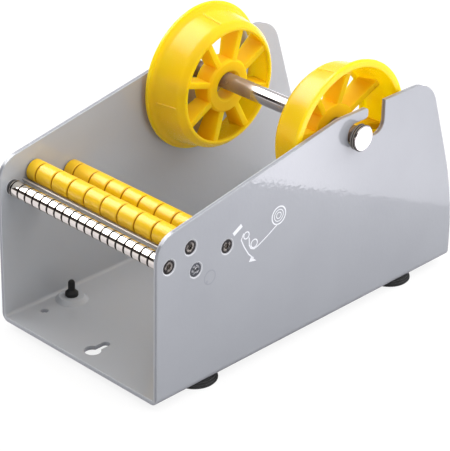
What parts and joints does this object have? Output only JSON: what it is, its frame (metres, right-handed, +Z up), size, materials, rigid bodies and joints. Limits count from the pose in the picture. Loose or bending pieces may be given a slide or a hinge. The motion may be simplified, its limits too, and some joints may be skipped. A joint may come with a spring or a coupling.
{
  "type": "label dispenser",
  "caption": "Bench label dispenser: folded grey sheet housing, lift-out chrome axle with yellow core wheels, grooved guide rollers, peel bar and grooved steel front roller, on rubber feet.",
  "frame": {"origin": "on the bench under the feet, below the middle of the bounding box", "axes": "+X along the axle towards the right plate seen from the front, +Y from the open front to the back, +Z up"},
  "size_m": [0.137, 0.238, 0.1546],
  "materials": {
    "painted_sheet": "light grey gloss powder coat",
    "painted_bar": "plain drawn bar",
    "polished_steel": "polished, with turned ring grooves",
    "steel": "bright drawn steel",
    "washer_steel": "stamped, slightly darkened",
    "yellow_roller": "turned, satin gloss",
    "black_screw": "blackened steel",
    "zinc_screw": "zinc plated",
    "chrome": "bright chrome",
    "yellow_wheel": "injection moulded, gloss",
    "foot_rubber": "matt moulded"
  },
  "bodies": {
    "base": {"housing": "painted_sheet", "front_roller_shaft": "steel", "front_roller_washer_left": "washer_steel", "front_roller_washer_right": "washer_steel", "front_guide_shaft": "steel", "rear_guide_shaft": "steel", "peel_bar": "painted_bar", "front_roller_screws": "black_screw", "front_guide_screws": "black_screw", "rear_guide_screws": "black_screw", "peel_bar_screws": "zinc_screw", "foot_front_left": "foot_rubber", "foot_front_right": "foot_rubber", "foot_rear_left": "foot_rubber", "foot_rear_right": "foot_rubber"},
    "front_roller_body": {"front_roller": "polished_steel"},
    "front_guide_body": {"front_guide_roller": "yellow_roller"},
    "rear_guide_body": {"rear_guide_roller": "yellow_roller"},
    "axle_body": {"axle_rod": "chrome", "axle_cap_left": "chrome", "axle_cap_right": "chrome"},
    "wheel_left_body": {"core_wheel_left": "yellow_wheel"},
    "wheel_right_body": {"core_wheel_right": "yellow_wheel"}
  },
  "joints": [
    {"name": "front_roller_turn", "type": "hinge", "parent": "base", "child": "front_roller_body", "pos_m": [0, -0.1105, 0.0851], "axis": [1, 0, 0], "continuous": true},
    {"name": "front_guide_turn", "type": "hinge", "parent": "base", "child": "front_guide_body", "pos_m": [0, -0.0953, 0.0908], "axis": [1, 0, 0], "continuous": true},
    {"name": "rear_guide_turn", "type": "hinge", "parent": "base", "child": "rear_guide_body", "pos_m": [0, -0.0687, 0.0814], "axis": [1, 0, 0], "continuous": true},
    {"name": "axle_slide", "type": "slide", "parent": "base", "child": "axle_body", "axis": [0, 1, 0], "range_m": [0, 0.0155]},
    {"name": "wheel_left_turn", "type": "hinge", "parent": "axle_body", "child": "wheel_left_body", "pos_m": [-0.0455, 0.0293, 0.11015], "axis": [1, 0, 0], "continuous": true},
    {"name": "wheel_right_turn", "type": "hinge", "parent": "axle_body", "child": "wheel_right_body", "pos_m": [0.047, 0.0293, 0.11015], "axis": [1, 0, 0], "continuous": true}
  ]
}
